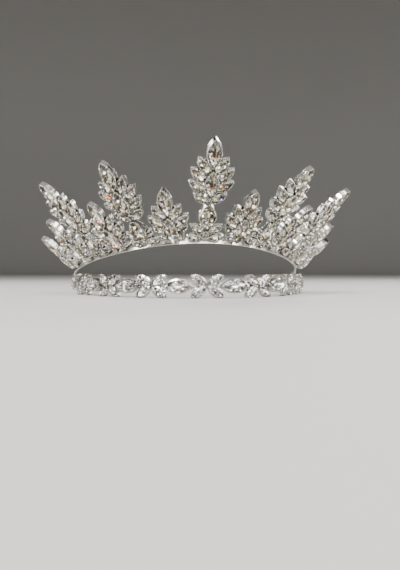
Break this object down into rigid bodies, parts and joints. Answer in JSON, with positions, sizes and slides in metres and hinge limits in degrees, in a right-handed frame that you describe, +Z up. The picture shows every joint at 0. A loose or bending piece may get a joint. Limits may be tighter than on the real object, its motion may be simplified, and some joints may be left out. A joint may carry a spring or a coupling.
{
  "type": "crystal crown",
  "caption": "Open-backed double-band crown: fanned crystal leaf sprays stand on the upper band, crosses and navettes line the forehead band, pierced end plates.",
  "frame": {"origin": "middle of the crown's footprint, on the surface that it rests on", "axes": "+X to the wearer's left, which is the viewer's right, -Y towards the front of the head, +Z up; the forehead band lies level"},
  "size_m": [0.1832, 0.1554, 0.0768],
  "materials": {
    "plated_metal": "bright silver plate on brass, polished",
    "clear_crystal": "clear cut glass with a silver foil back"
  },
  "bodies": {
    "root": {"frame": "plated_metal", "tip_stone_left_6": "clear_crystal", "tip_stone_left_5": "clear_crystal", "tip_stone_left_4": "clear_crystal", "tip_stone_left_3": "clear_crystal", "tip_stone_left_2": "clear_crystal", "tip_stone_left_1": "clear_crystal", "tip_stone_middle": "clear_crystal", "tip_stone_right_1": "clear_crystal", "tip_stone_right_2": "clear_crystal", "tip_stone_right_3": "clear_crystal", "tip_stone_right_4": "clear_crystal", "tip_stone_right_5": "clear_crystal", "tip_stone_right_6": "clear_crystal", "heart_stone_left_6": "clear_crystal", "heart_stone_left_5": "clear_crystal", "heart_stone_left_4": "clear_crystal", "heart_stone_left_3": "clear_crystal", "heart_stone_left_2": "clear_crystal", "heart_stone_left_1": "clear_crystal", "heart_stone_middle": "clear_crystal", "heart_stone_right_1": "clear_crystal", "heart_stone_right_2": "clear_crystal", "heart_stone_right_3": "clear_crystal", "heart_stone_right_4": "clear_crystal", "heart_stone_right_5": "clear_crystal", "heart_stone_right_6": "clear_crystal", "leaf_stones_left_6": "clear_crystal", "leaf_stones_left_5": "clear_crystal", "leaf_stones_left_4": "clear_crystal", "leaf_stones_left_3": "clear_crystal", "leaf_stones_left_2": "clear_crystal", "leaf_stones_left_1": "clear_crystal", "leaf_stones_middle": "clear_crystal", "leaf_stones_right_1": "clear_crystal", "leaf_stones_right_2": "clear_crystal", "leaf_stones_right_3": "clear_crystal", "leaf_stones_right_4": "clear_crystal", "leaf_stones_right_5": "clear_crystal", "leaf_stones_right_6": "clear_crystal", "drop_stone_left_4": "clear_crystal", "drop_stone_left_2": "clear_crystal", "drop_stone_middle": "clear_crystal", "drop_stone_right_2": "clear_crystal", "drop_stone_right_4": "clear_crystal", "cross_stones_left_3": "clear_crystal", "cross_stones_left_2": "clear_crystal", "cross_stones_left_1": "clear_crystal", "cross_stones_middle": "clear_crystal", "cross_stones_right_1": "clear_crystal", "cross_stones_right_2": "clear_crystal", "cross_stones_right_3": "clear_crystal", "band_stone_left_4": "clear_crystal", "band_stone_left_3": "clear_crystal", "band_stone_left_2": "clear_crystal", "band_stone_left_1": "clear_crystal", "band_stone_right_1": "clear_crystal", "band_stone_right_2": "clear_crystal", "band_stone_right_3": "clear_crystal", "band_stone_right_4": "clear_crystal"}
  },
  "joints": []
}
